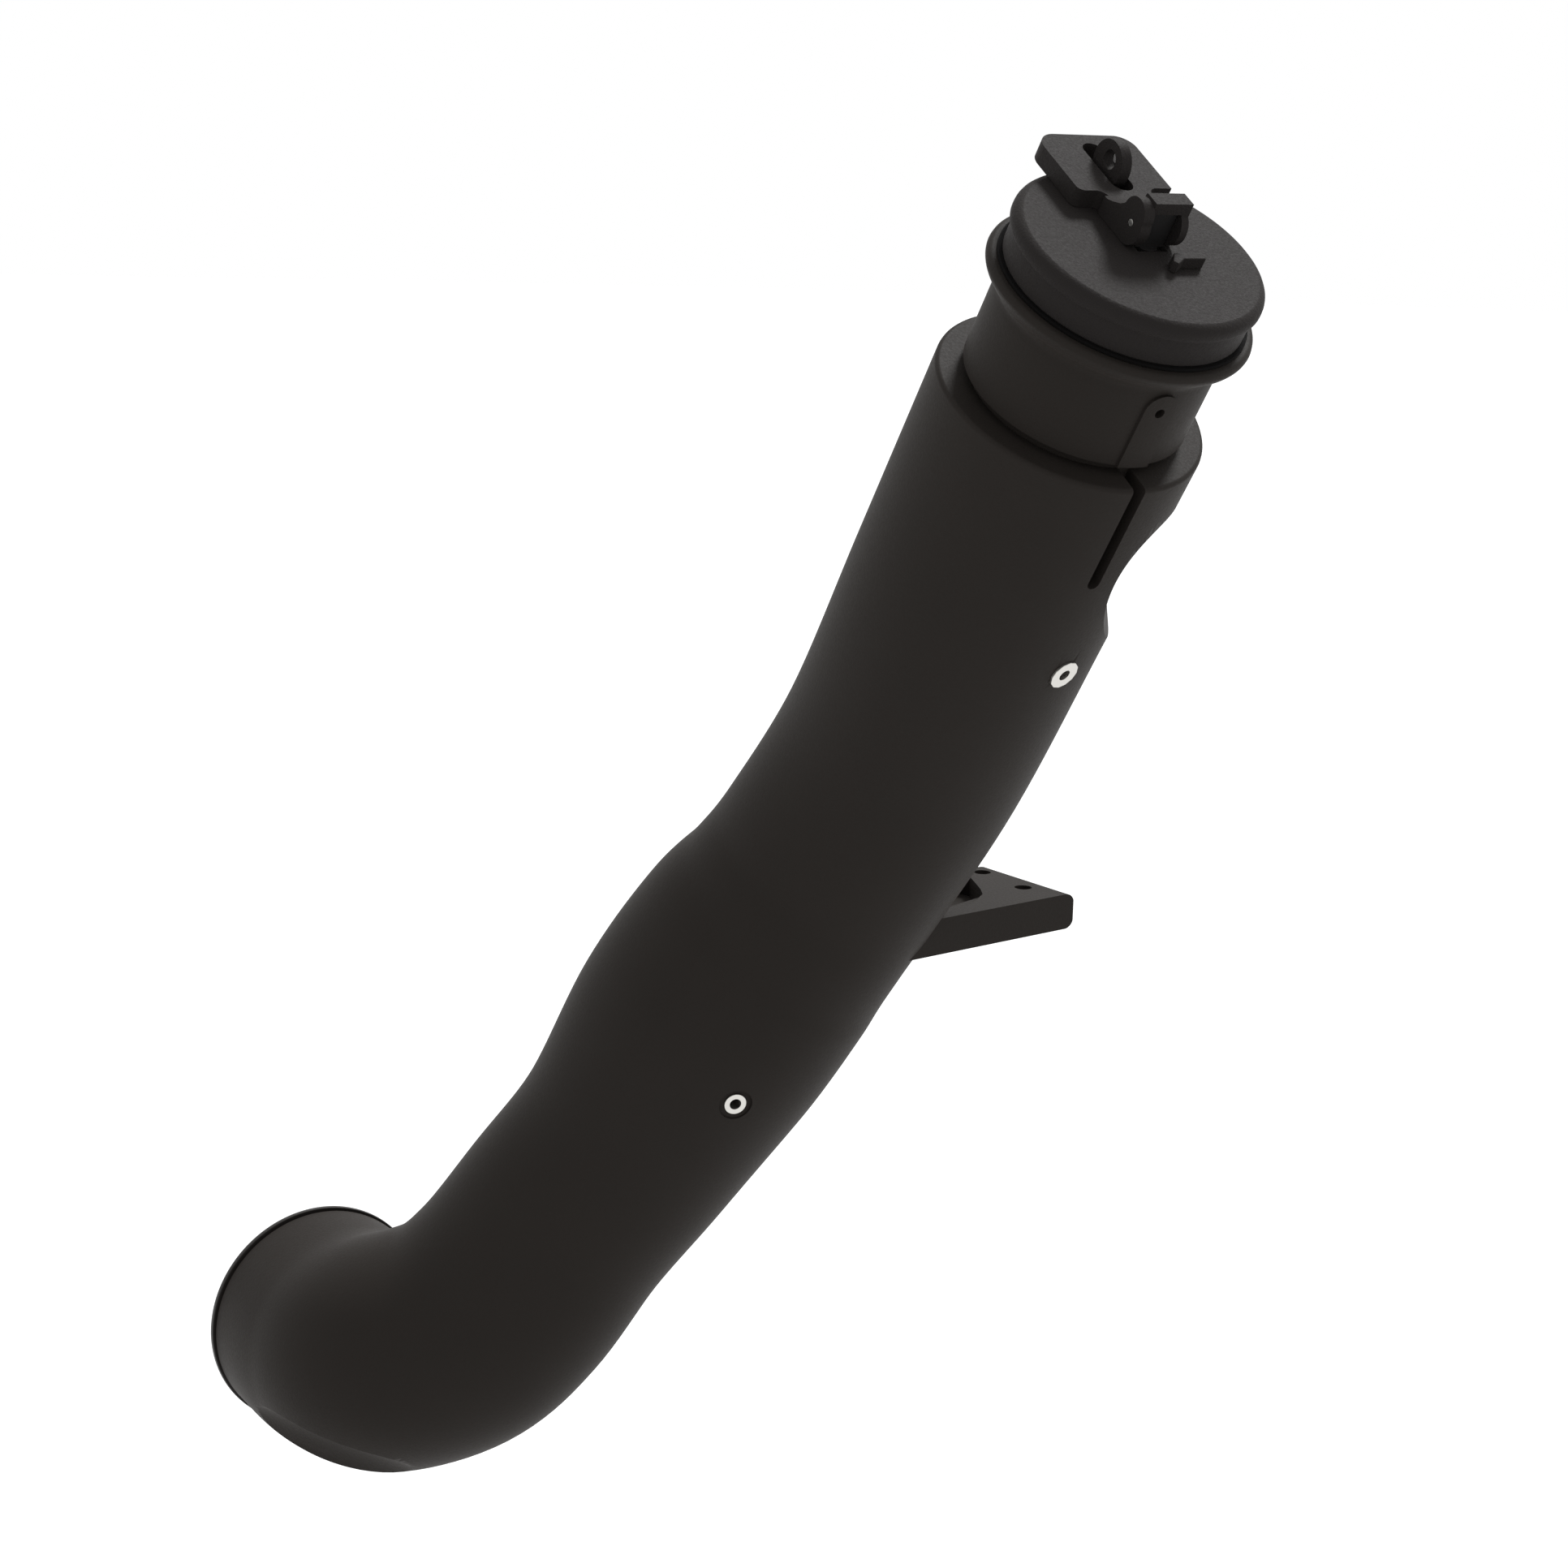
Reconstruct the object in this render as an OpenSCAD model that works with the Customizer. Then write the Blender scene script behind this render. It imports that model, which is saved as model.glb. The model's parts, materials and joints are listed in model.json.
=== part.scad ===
// Raised air-intake body with a lockable cam-lever expansion cap.
// One frame for everything: +X is the hinge-pin direction, +Y is the way the
// outlet faces, +Z is the normal of the bracket's face. The origin lies midway
// between the two bracket holes, on the bracket's top face. Millimetres.

/* [Placement] */
// X of the centre of the collar's rim
collar_x = -97; // [-115:1:-80]
// Y of the centre of the collar's rim
collar_y = -168.5; // [-190:0.5:-150]
// Z of the centre of the collar's rim
collar_z = 253; // [235:1:270]
// lean of the neck back from the bracket's normal, degrees
neck_tilt = 34; // [30:0.5:38]
// X of the outlet's axis
outlet_x = -284; // [-294:1:-274]
// Y of the outlet's open face
outlet_y = 201; // [195:1:215]
// Z of the outlet's axis
outlet_z = -247; // [-255:1:-239]

/* [Tube] */
// outer radius of the tube under the collar's rim
tube_top_r = 59.5; // [58:0.1:62]
// outer radius at the knee
knee_r = 58.3; // [57:0.1:60]
// outer radius below the knee
neck_root_r = 60.2; // [58.5:0.1:61.5]
// outer radius at the shoulder hump
hump_r = 64; // [62:0.1:66]
// outer radius in the waist below the hump
waist_r = 57.6; // [56.5:0.1:60]
// outer radius at the lower turn
turn_r = 58.6; // [57:0.1:60]
// outer radius at the elbow
elbow_r = 59; // [57.5:0.1:60.5]
// outer radius at the outlet end
outlet_end_r = 57; // [56.5:0.1:58]
// how much each knuckle stands over the legs it joins
knuckle_over = 0.5; // [0.4:0.05:0.7]
// moulded wall thickness
wall = 4; // [3:0.1:4.5]
// straight run from the rim to the knee
straight_len = 262; // [250:1:272]
// straight run of the outlet leg
outlet_leg = 73; // [68:1:80]
// rounding of the collar's rim
rim_round = 2; // [1:0.1:3]

/* [Collar] */
// depth of the bore that takes the neck
bore_depth = 125; // [110:1:135]
// radial clearance between neck and collar bore
neck_fit = 0.05; // [0.02:0.01:0.1]
// thickness of the ledge the neck stands on
ledge_t = 6; // [4:0.5:8]
// width of the clamping slit
slit_w = 6; // [4:0.5:8]
// length of the clamping slit from the rim
slit_len = 53; // [45:1:60]
// depth of the finger scoop
scoop_depth = 9.5; // [7:0.25:10]
// radius of the scoop along the tube
scoop_drum_r = 75; // [65:1:90]
// distance of the scoop's middle below the rim
scoop_below = 72; // [66:1:78]
// azimuth of the scoop
scoop_azimuth = -40; // [-46:1:-34]

/* [Underside recess] */
// radius of the scallop
recess_r = 45; // [40:1:55]
// distance of the scallop's axis from the elbow's centre
recess_out = 86; // [84:0.5:90]
// shift of the scallop's axis towards the bottom
recess_down = 11; // [8:0.5:14]

/* [Threaded inserts] */
// distance of the upper insert below the rim
upper_below = 103; // [98:1:108]
// azimuth of the upper insert
upper_azimuth = -81; // [-84:1:-78]
// flange radius of the upper insert
upper_flange_r = 7.1; // [6.5:0.1:7.6]
// how far the upper flange stands proud
upper_proud = 1; // [0.6:0.1:1.6]
// bore radius of both inserts
insert_bore_r = 2.7; // [2.4:0.05:3]
// body radius of both inserts
insert_body_r = 4.6; // [4:0.1:5]
// body length of both inserts
insert_len = 11; // [9:0.5:11.5]
// flange radius of the lower insert
lower_flange_r = 5.3; // [5.2:0.1:6]
// radius of the round recess about the lower insert
lower_recess_r = 8; // [7.5:0.1:9]
// depth of that recess
lower_recess_depth = 2; // [1.5:0.1:2.6]
// radius of the boss behind the lower insert
lower_boss_r = 12; // [10:0.5:14]

/* [Bracket] */
// distance between the two bracket holes
hole_spacing = 35; // [32:0.5:38]
// radius of the bracket holes
hole_r = 4.3; // [4:0.1:4.6]
// reach of the bracket past the hole line, at its near corner
bracket_reach = 17; // [15:0.5:19]
// distance of the bracket's near corner from the middle of the holes
bracket_near = 37.5; // [35:0.5:40]
// distance of the bracket's far side from the middle of the holes
bracket_far = 27.5; // [25:0.5:30]
// splay of the bracket's near side, degrees
bracket_splay = 8.6; // [6:0.2:10]
// slant of the bracket's end, degrees
bracket_slant = 4; // [2:0.25:6]
// thickness of the bracket
bracket_t = 17.5; // [14:0.5:20]
// plan radius of the bracket's corners
bracket_corner_r = 5; // [4:0.5:8]
// rounding of the bracket's upper and lower end edges
bracket_edge_r = 4.5; // [3:0.25:6]
// depth of the pocket beside the tube
pocket_depth = 10; // [7:0.5:12]
// depth of the step across the pocket
pocket_step = 4; // [3:0.25:6]

/* [Outlet ring] */
// radius of the lip
lip_r = 58.3; // [57.6:0.1:59.5]
// thickness of the lip
lip_t = 3.6; // [2.5:0.1:5]
// thickness of the seal behind the lip
seal_t = 1.6; // [1:0.1:2.5]
// bore radius of the outlet
outlet_bore_r = 50; // [48:0.1:50.5]
// outer radius of the ring's spigot
spigot_r = 52.95; // [52.5:0.05:53]
// length of the spigot behind the seal
spigot_len = 14; // [10:0.5:16]

/* [Neck] */
// outer radius of the neck
neck_r = 45; // [44:0.1:45.5]
// wall thickness of the neck
neck_wall = 3.5; // [3:0.1:4]
// outer radius of the neck's body over the collar
body_r = 49.4; // [48.5:0.1:50]
// height of the body's lower edge above the rim
body_z = 4.5; // [3.5:0.25:6]
// height of the flare's start above the rim
flare_z = 42.5; // [40:0.5:43]
// outer radius of the bell
bell_r = 57.7; // [57.2:0.1:58.5]
// height of the bell's top above the rim, where the gasket rests
bell_top_z = 55.5; // [55:0.25:55.75]
// bore radius of the bell
bell_bore_r = 51.5; // [51.2:0.1:52]
// width of the raised key
key_w = 15; // [13:0.5:17]
// height of the key over the neck
key_over = 1.3; // [1:0.1:1.8]
// azimuth of the key
key_azimuth = -91; // [-94:0.5:-88]
// height of the key's round top above the rim
key_top_z = 41; // [38:0.5:42]
// radius of the drain hole in the key
drain_r = 2.2; // [1.8:0.1:2.6]
// height of the drain hole above the rim
drain_z = 32.4; // [30:0.2:34]

/* [Cap] */
// height of the cap's flat face above the rim
cap_z = 76.7; // [75.5:0.1:78]
// outer radius of the cap's disc
disc_r = 54.3; // [53:0.1:55]
// rounding of the disc's edge
disc_round = 4; // [2.5:0.1:4.2]
// thickness of the disc
disc_t = 5.7; // [5.2:0.1:6.5]
// radius of the skirt
skirt_r = 52.2; // [51.8:0.1:52.6]
// wall of the skirt
skirt_wall = 5.7; // [4:0.1:6]
// height of the skirt's step above the rim
step_z = 57; // [56.8:0.1:57.6]
// radius of the plug below the step
plug_r = 50.2; // [49.8:0.1:50.4]
// height of the plug's end above the rim
plug_end_z = 50; // [48:0.5:51]
// outer radius of the hub
hub_r = 30; // [28:0.5:30.5]
// radius of the hub's flange that bears on the ring
flange_r = 40.3; // [38:0.1:40.6]
// thickness of that flange
flange_t = 5; // [4:0.25:6]
// wall of the hub
hub_wall = 6; // [5:0.5:7]
// height of the hub's end above the rim
hub_end_z = 26; // [24:0.5:28]
// radius of the guide boss about the stem
guide_r = 12; // [10:0.5:14]

/* [Seals] */
// outer radius of the gasket
gasket_r = 54; // [53.4:0.1:54.1]
// inner radius of the gasket
gasket_bore_r = 50.5; // [50.5:0.1:51]
// radial play between the relaxed ring and the neck
ring_play = 0.4; // [0.3:0.05:0.8]
// inner radius of the expansion ring
ring_bore_r = 22; // [18:0.5:23]
// height of the expansion ring
ring_h = 18; // [14:0.5:20]

/* [Lever] */
// sideways offset of the lever's middle from the cap's axis
lever_u = 4; // [3:0.25:5]
// width of the lever's blade
blade_w = 48; // [44:0.5:52]
// distance of the blade's end from the cap's axis
blade_end = 65; // [62:0.5:68]
// thickness of the blade
blade_t = 8.05; // [7:0.05:9]
// gap between blade and disc
blade_gap = 0.25; // [0.2:0.05:0.5]
// near edge of the blade on the left
blade_near_l = 25.6; // [24:0.2:27]
// near edge of the blade on the right
blade_near_r = 28; // [26.5:0.2:29]
// radius of the blade's far left corner
blade_corner_l = 10; // [8:0.5:12]
// radius of the blade's far right corner
blade_corner_r = 8; // [6:0.5:10]
// radius of the blade's near left corner
blade_near_round = 3; // [2:0.25:4]
// fillet between blade and arm
arm_fillet = 4.5; // [3:0.25:5]
// width of the arm
arm_w = 23; // [21:0.5:24]
// width of the slot for the staple
slot_w = 10.5; // [9:0.25:12]
// near end of the slot
slot_near = 26; // [24:0.5:27.5]
// far end of the slot
slot_far = 59; // [57:0.5:60]
// width of the cam
cam_w = 23.5; // [22:0.25:25]
// sideways offset of the cam's middle from the cap's axis
cam_u = 2.25; // [1.5:0.25:3]
// radius of the cam
cam_r = 8.475; // [8.3:0.005:8.6]
// throw of the cam, each way
cam_throw = 0.775; // [0.6:0.005:0.8]
// height of the cam's top bar above the disc
bar_top = 21.4; // [20.5:0.1:22.5]
// underside of the top bar above the disc
bar_under = 16.3; // [16.1:0.1:17]
// front face of the top bar
bar_front = -2; // [-2.6:0.1:-1.6]
// back face of the top bar
bar_back = 5.5; // [5:0.1:6.5]
// radius of the left knuckle
knuckle_r = 7; // [6.5:0.05:7.05]
// width of the left knuckle
knuckle_w = 5; // [4:0.25:5]

/* [Hinge post] */
// distance of the pin from the cap's axis, towards the blade
pin_v = 2.2; // [1.8:0.1:2.6]
// radius of the hinge pin
pin_r = 1.6; // [1.4:0.05:1.8]
// radial clearance of the pin in the cam
pin_fit = 0.05; // [0.02:0.01:0.09]
// width of the post
post_w = 14; // [13:0.25:14.4]
// width of the window the post stands in
window_w = 15; // [14.6:0.1:15.6]
// sideways offset of the post and window
post_u = 3; // [2.5:0.25:3.5]
// radius of the post's rounded top
post_r = 6.2; // [5.8:0.1:6.4]
// front flat of the post
post_front = -0.2; // [-0.6:0.1:0.4]
// back flat of the post
post_back = 6.4; // [5.6:0.1:7]
// radius of the stem
stem_r = 5; // [4.5:0.1:5.5]
// radial clearance of the stem in the cap
stem_fit = 0.06; // [0.02:0.01:0.1]
// travel of the bolt when the lever opens
bolt_travel = 1.8; // [1.7:0.1:2.2]

/* [Pressure plate] */
// radius of the pressure plate
plate_r = 39.5; // [38:0.5:40]
// thickness of the pressure plate
plate_t = 5; // [4:0.25:6]
// radius of the washer
washer_r = 10; // [9:0.5:12]
// thickness of the washer
washer_t = 2; // [1.6:0.1:2.5]
// height of the nut
nut_h = 8; // [6:0.5:9]
// distance across the nut's corners, halved
nut_r = 9.8; // [9:0.1:10.4]
// thread left below the nut
tail = 3; // [2:0.5:5]

/* [Staple] */
// thickness of the staple
staple_t = 5; // [4:0.25:6]
// sideways offset of the staple
staple_u = 4.3; // [4:0.1:4.6]
// distance of the staple from the cap's axis
staple_v = 41; // [40:0.25:42]
// radius of the staple's round head
staple_r = 9.8; // [9:0.1:10.4]
// height of the head's centre above the disc
staple_z = 11; // [10.4:0.1:11.6]
// width of the staple's stalk
stalk_w = 15.5; // [14:0.25:16]
// radius of the padlock eye
eye_r = 4; // [3.5:0.1:4.5]
// height of the padlock eye above the disc
eye_z = 13; // [12.6:0.1:13.6]
// thickness of the staple's foot under the disc
foot_t = 3; // [2.5:0.25:4]
// length of the staple's foot
foot_l = 22; // [20:0.5:23]
// width of the staple's foot
foot_w = 12; // [11:0.5:12]
// radius of the staple screws
screw_r = 2; // [1.6:0.1:2.2]
// radius of the staple screws' heads
screw_head_r = 3.4; // [3:0.1:3.6]

/* [Stop lug] */
// height of the lug
lug_h = 5; // [4:0.25:6]
// front of the lug
lug_front = -15.2; // [-16:0.1:-14.5]
// thickness of the lug
lug_t = 4; // [3:0.25:5]

/* [Hidden] */
$fn = 96;
neck_dir = [0, -sin(neck_tilt), cos(neck_tilt)];
rim = [collar_x, collar_y, collar_z];
knee = rim - straight_len * neck_dir;
neck_bore_r = neck_r - neck_wall;
tube_end_y = outlet_y - lip_t - seal_t;
spigot_y = tube_end_y - spigot_len;
// corners of the centre line, from the knee to the end of the tube, and the radii there
elbow = [outlet_x, outlet_y - outlet_leg, outlet_z];
corners = [knee, [-122, -4, 3], [-152, 28, -62], [-182, 51, -121], [-236, 88, -213], elbow,
           [outlet_x, tube_end_y, outlet_z]];
radii = [knee_r, neck_root_r, hump_r, waist_r, turn_r, elbow_r, outlet_end_r];
// frame of the underside scallop at the elbow
scallop_along = [0.62, -0.75, -0.21];
scallop_out = [-0.677, -0.398, -0.619];
scallop_down = [0.381, 0.526, -0.755];
scallop_at = elbow + recess_out * scallop_out + recess_down * scallop_down;
// lower insert
lower_on = [-155, 29, -67.5];
lower_dir = [-0.228, -0.942, -0.247];
// cap, in heights over the disc face
pin_z = 9.5;
plug_end = plug_end_z - cap_z;
hub_end = hub_end_z - cap_z;
step = step_z - cap_z;
plate_top = hub_end - ring_h;
plate_under = plate_top - plate_t;
washer_under = plate_under - washer_t;
nut_under = washer_under - nut_h;
cam_at = [pin_v + cam_throw, pin_z - cam_throw];
well_depth = bolt_travel + 0.6;

// ---- helpers ----
module at_neck() translate(rim) rotate([neck_tilt, 0, 0]) children();
module at_cap() at_neck() translate([0, 0, cap_z]) children();
module aim(d) rotate([0, acos(d[2] / norm(d)), atan2(d[1], d[0])]) children();
module leg(a, b, ra, rb) translate(a) aim(b - a) rotate(200)
  cylinder(h = norm(b - a), r1 = ra, r2 = rb);
module across(u0, u1) translate([u0, 0, 0]) rotate([90, 0, 90]) linear_extrude(u1 - u0) children();
// link k of the tube: even ones are legs, odd ones the knuckles between them
module link(k, from, from_r, grow) {
  i = floor(k / 2);
  if (k % 2 == 1) translate(corners[i]) rotate(120) sphere(r = radii[i] + grow + knuckle_over);
  else if (k == 0) leg(from, knee, from_r, knee_r + grow);
  else leg(corners[i - 1], corners[i], radii[i - 1] + grow, radii[i] + grow);
}
module links(k, from, from_r, grow) union() {
  if (k > 0) links(k - 1, from, from_r, grow);
  link(k, from, from_r, grow);
}
module chain(grow) links(12, rim, tube_top_r + grow, grow);
module scallop(grow) translate(scallop_at - 60 * scallop_along)
  aim(scallop_along) cylinder(h = 120, r = recess_r + grow);

// ---- tube body ----
module rim_edge() at_neck() rotate_extrude() translate([tube_top_r, 0])
  polygon([[-0.8 * rim_round, 0.1], [-0.3 * rim_round, -0.25 * rim_round],
    [-0.03 * rim_round, -0.8 * rim_round], [0.08, -1.3 * rim_round], [3, -1.3 * rim_round], [3, 0.1]]);
module duct() links(12, rim - (bore_depth + ledge_t + 13) * neck_dir, knee_r - wall, -wall);
module collar_bore() at_neck() {
  translate([0, 0, -bore_depth]) cylinder(h = bore_depth + 1, r = neck_r + neck_fit);
  translate([0, 0, -bore_depth - ledge_t - 0.1]) cylinder(h = ledge_t + 0.2, r = neck_bore_r);
  translate([0, 0, -bore_depth - ledge_t - 14])
    cylinder(h = 14, r1 = knee_r - wall - 0.5, r2 = neck_bore_r);
}
module upper_seat(r, h0, h1) at_neck() translate([0, 0, -upper_below])
  rotate([0, 90, upper_azimuth]) translate([0, 0, h0]) cylinder(h = h1 - h0, r = r);
module lower_seat(r, h0, h1) translate(lower_on) aim(lower_dir)
  translate([0, 0, h0]) cylinder(h = h1 - h0, r = r);
upper_floor = 58.6;
lower_floor = hump_r - 0.9 - lower_recess_depth + 0.4;
module tube_body() color("#2e2c2b") difference() {
  chain(0);
  // the duct, less the thick places behind the recess and the lower insert
  difference() {
    duct();
    scallop(wall);
    lower_seat(lower_boss_r, lower_floor - insert_len - 3, 72);
  }
  rim_edge();
  collar_bore();
  scallop(0);
  // outlet socket for the ring's spigot
  translate([outlet_x, spigot_y - 1, outlet_z]) rotate([-90, 0, 0])
    cylinder(h = spigot_len + 3, r = spigot_r + 0.05);
  // clamping slit
  at_neck() {
    translate([-slit_w / 2, -tube_top_r - 3, -slit_len + slit_w / 2])
      cube([slit_w, 22, slit_len + 2]);
    translate([0, -tube_top_r - 3, -slit_len + slit_w / 2]) rotate([-90, 0, 0])
      cylinder(h = 22, r = slit_w / 2);
    // finger scoop
    rotate([0, 0, scoop_azimuth])
      translate([tube_top_r - 0.2 - scoop_depth + scoop_drum_r, 60, -scoop_below])
        rotate([90, 0, 0]) cylinder(h = 120, r = scoop_drum_r);
  }
  upper_seat(upper_flange_r + 0.2, upper_floor, 64);
  upper_seat(insert_body_r + 0.02, upper_floor - insert_len - 0.5, 64);
  lower_seat(lower_recess_r, lower_floor, 72);
  lower_seat(insert_body_r + 0.02, lower_floor - insert_len - 0.5, 72);
}
// plan of the bracket: a corner at p between the edges a and b, and its rounding
near_dir = [-cos(bracket_splay), -sin(bracket_splay)];
end_dir = [-sin(bracket_slant), cos(bracket_slant)];
near_corner = [bracket_reach, -bracket_near];
far_corner = near_corner + (bracket_near + bracket_far) / end_dir[1] * end_dir;
function cut_back(a, b) = bracket_corner_r / tan(acos(a * b) / 2);
function round_at(p, a, b) = p + bracket_corner_r / sin(acos(a * b)) * (a + b);
module bracket_plan() union() {
  polygon([near_corner + 117 / -near_dir[0] * near_dir,
    near_corner + cut_back(near_dir, end_dir) * near_dir,
    near_corner + cut_back(near_dir, end_dir) * end_dir,
    far_corner - cut_back(-end_dir, [-1, 0]) * end_dir,
    far_corner - [cut_back(-end_dir, [-1, 0]), 0], [bracket_reach - 117, bracket_far]]);
  translate(round_at(near_corner, near_dir, end_dir)) circle(r = bracket_corner_r);
  translate(round_at(far_corner, -end_dir, [-1, 0])) circle(r = bracket_corner_r);
}
module side_bracket() color("#2f2d2c") difference() {
  intersection() {
    // end profile, rounded above and below
    translate([bracket_reach, -bracket_near, 0]) rotate([0, 0, bracket_slant])
      translate([0, 110, 0]) rotate([90, 0, 0]) linear_extrude(150) union() {
        translate([-150, -bracket_t]) square([150 - bracket_edge_r, bracket_t]);
        translate([-20, -bracket_t + bracket_edge_r]) square([20, bracket_t - 2 * bracket_edge_r]);
        translate([-bracket_edge_r, -bracket_edge_r]) circle(r = bracket_edge_r);
        translate([-bracket_edge_r, bracket_edge_r - bracket_t]) circle(r = bracket_edge_r);
      }
    translate([0, 0, -bracket_t - 1]) linear_extrude(bracket_t + 2) bracket_plan();
  }
  // saddle against the tube
  for (k = [2, 3, 4, 1]) link(k, rim, tube_top_r, 0.04);
  for (s = [-1, 1]) translate([0, s * hole_spacing / 2, -bracket_t - 1])
    cylinder(h = bracket_t + 2, r = hole_r);
  // pocket beside the tube, with a step across it
  translate([0, 0, -pocket_depth]) linear_extrude(pocket_depth + 1)
    polygon([[-21, -11], [-11, 12.6], [-13, 20], [-95, 20], [-95, -36], [-44, -20]]);
  translate([0, 0, -pocket_step]) linear_extrude(pocket_step + 1)
    polygon([[-21, -11], [-12.5, 9], [-95, 9], [-95, -43], [-54, -40], [-42, -33.5], [-26, -20]]);
}

// ---- outlet ----
module ring_y(y0, y1, ro, ri) translate([outlet_x, y0, outlet_z]) rotate([-90, 0, 0]) difference() {
  cylinder(h = y1 - y0, r = ro);
  translate([0, 0, -1]) cylinder(h = y1 - y0 + 2, r = ri);
}
module outlet_ring() color("#3a3836") difference() {
  union() {
    ring_y(outlet_y - lip_t, outlet_y, lip_r, outlet_bore_r);
    ring_y(spigot_y, outlet_y - lip_t, spigot_r, outlet_bore_r);
  }
}
module outlet_seal() color("#141414")
  ring_y(tube_end_y, outlet_y - lip_t, outlet_end_r - 1, spigot_r + 0.04);

// ---- neck ----
module neck_sleeve() color("#33302e") at_neck() difference() {
  union() {
    rotate_extrude() polygon([[neck_bore_r, -bore_depth], [neck_r, -bore_depth],
      [neck_r, body_z], [body_r - 0.8, body_z], [body_r, body_z + 0.8], [body_r, flare_z],
      [body_r + 0.6, flare_z + 1.2], [body_r + 2, flare_z + 2.8], [body_r + 4.2, flare_z + 4.6],
      [bell_r - 2, flare_z + 6.4], [bell_r - 0.7, flare_z + 8.2], [bell_r, bell_top_z - 2.8],
      [bell_r - 0.3, bell_top_z - 1.4], [bell_r - 1, bell_top_z - 0.5], [bell_r - 2, bell_top_z],
      [bell_bore_r, bell_top_z], [bell_bore_r, flare_z + 6.5], [bell_bore_r - 2, flare_z + 4],
      [body_r - neck_wall, flare_z + 1.5], [body_r - neck_wall, flare_z - 8],
      [neck_bore_r, flare_z - 13]]);
    // raised key
    intersection() {
      rotate_extrude() translate([body_r - 1, body_z]) square([1 + key_over, key_top_z]);
      rotate([90, 0, key_azimuth + 90]) linear_extrude(60) union() {
        translate([-key_w / 2, 0]) square([key_w, key_top_z - key_w / 2]);
        translate([0, key_top_z - key_w / 2]) circle(r = key_w / 2);
      }
    }
  }
  rotate([90, 0, key_azimuth + 90]) translate([0, drain_z, 30]) cylinder(h = 30, r = drain_r);
}

// ---- inserts ----
module upper_insert() color("#c6c3bd") difference() {
  union() {
    at_neck() translate([0, 0, -upper_below]) rotate([0, 90, upper_azimuth])
      translate([0, 0, upper_floor]) cylinder(h = tube_top_r - 0.4 + upper_proud - upper_floor,
        r = upper_flange_r, $fn = 12);
    upper_seat(insert_body_r, upper_floor - insert_len, upper_floor + 0.1);
  }
  upper_seat(insert_bore_r, upper_floor - insert_len - 1, 64);
}
module lower_insert() color("#c6c3bd") difference() {
  union() {
    lower_seat(lower_flange_r, lower_floor + 0.02, lower_floor + 1);
    lower_seat(insert_body_r, lower_floor - insert_len, lower_floor + 0.1);
  }
  lower_seat(insert_bore_r, lower_floor - insert_len - 1, 72);
}

// ---- cap ----
module cap_body() color("#33312f") at_cap() difference() {
  rotate_extrude() polygon([[0, 0], [disc_r - disc_round, 0],
    [disc_r - 0.62 * disc_round, -0.08 * disc_round], [disc_r - 0.29 * disc_round, -0.29 * disc_round],
    [disc_r - 0.08 * disc_round, -0.62 * disc_round], [disc_r, -disc_round], [disc_r, -disc_t - 0.2],
    [disc_r - 0.5, -disc_t - 1.3], [skirt_r, -disc_t - 2.2], [skirt_r, step], [plug_r, step],
    [plug_r, plug_end], [skirt_r - skirt_wall, plug_end], [skirt_r - skirt_wall, -disc_t],
    [0, -disc_t]]);
  // bore for the stem and well for the post
  translate([post_u, pin_v, -disc_t - 1]) cylinder(h = disc_t + 2, r = stem_r + stem_fit);
  translate([post_u - window_w / 2, post_front - 3.4, -well_depth])
    cube([window_w, post_back - post_front + 5.4, well_depth + 1]);
  // slot for the staple's stalk and holes for its screws
  translate([staple_u - staple_t / 2 - 0.02, staple_v - 6.52, -disc_t - 1])
    cube([staple_t + 0.04, 10.04, disc_t + 2]);
  for (s = [-1, 1]) translate([staple_u + s * 7.2, staple_v - 5, -disc_t - 1])
    cylinder(h = disc_t - 0.5, r = screw_r + 0.02);
}
module cap_hub() color("#2b2928") at_cap() difference() {
  rotate_extrude() polygon([[0, -disc_t - 0.02], [hub_r, -disc_t - 0.02], [hub_r, hub_end + flange_t],
    [flange_r, hub_end + flange_t], [flange_r, hub_end], [hub_r - hub_wall, hub_end],
    [hub_r - hub_wall, -disc_t - hub_wall], [guide_r, -disc_t - hub_wall], [guide_r, hub_end],
    [0, hub_end]]);
  // guide bore for the stem
  translate([post_u, pin_v, hub_end - 1]) cylinder(h = -hub_end + 2, r = stem_r + stem_fit);
}
module cap_gasket() color("#121212") at_neck() translate([0, 0, bell_top_z + 0.02])
  difference() {
    cylinder(h = step_z - bell_top_z - 0.04, r = gasket_r);
    translate([0, 0, -1]) cylinder(h = 6, r = gasket_bore_r);
  }
module expansion_ring() color("#161616") at_cap() translate([0, 0, plate_top + 0.02])
  difference() {
    cylinder(h = ring_h - 0.04, r = neck_bore_r - ring_play);
    translate([0, 0, -1]) cylinder(h = ring_h + 2, r = ring_bore_r);
  }
module staple() color("#343230") at_cap() difference() {
  union() {
    across(staple_u - staple_t / 2, staple_u + staple_t / 2) union() {
      translate([staple_v, staple_z]) circle(r = staple_r);
      translate([staple_v - stalk_w / 2, 0.02]) square([stalk_w, staple_z - 4]);
      translate([staple_v - 6.5, -disc_t - foot_t]) square([10, foot_t + disc_t + 1]);
    }
    translate([staple_u - foot_l / 2, staple_v - 10, -disc_t - foot_t])
      cube([foot_l, foot_w, foot_t - 0.02]);
  }
  translate([staple_u - 10, staple_v - 0.4, eye_z]) rotate([0, 90, 0]) cylinder(h = 20, r = eye_r);
  for (s = [-1, 1]) translate([staple_u + s * 7.2, staple_v - 5, -disc_t - foot_t - 1])
    cylinder(h = foot_t + 2, r = screw_r + 0.02);
}
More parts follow.
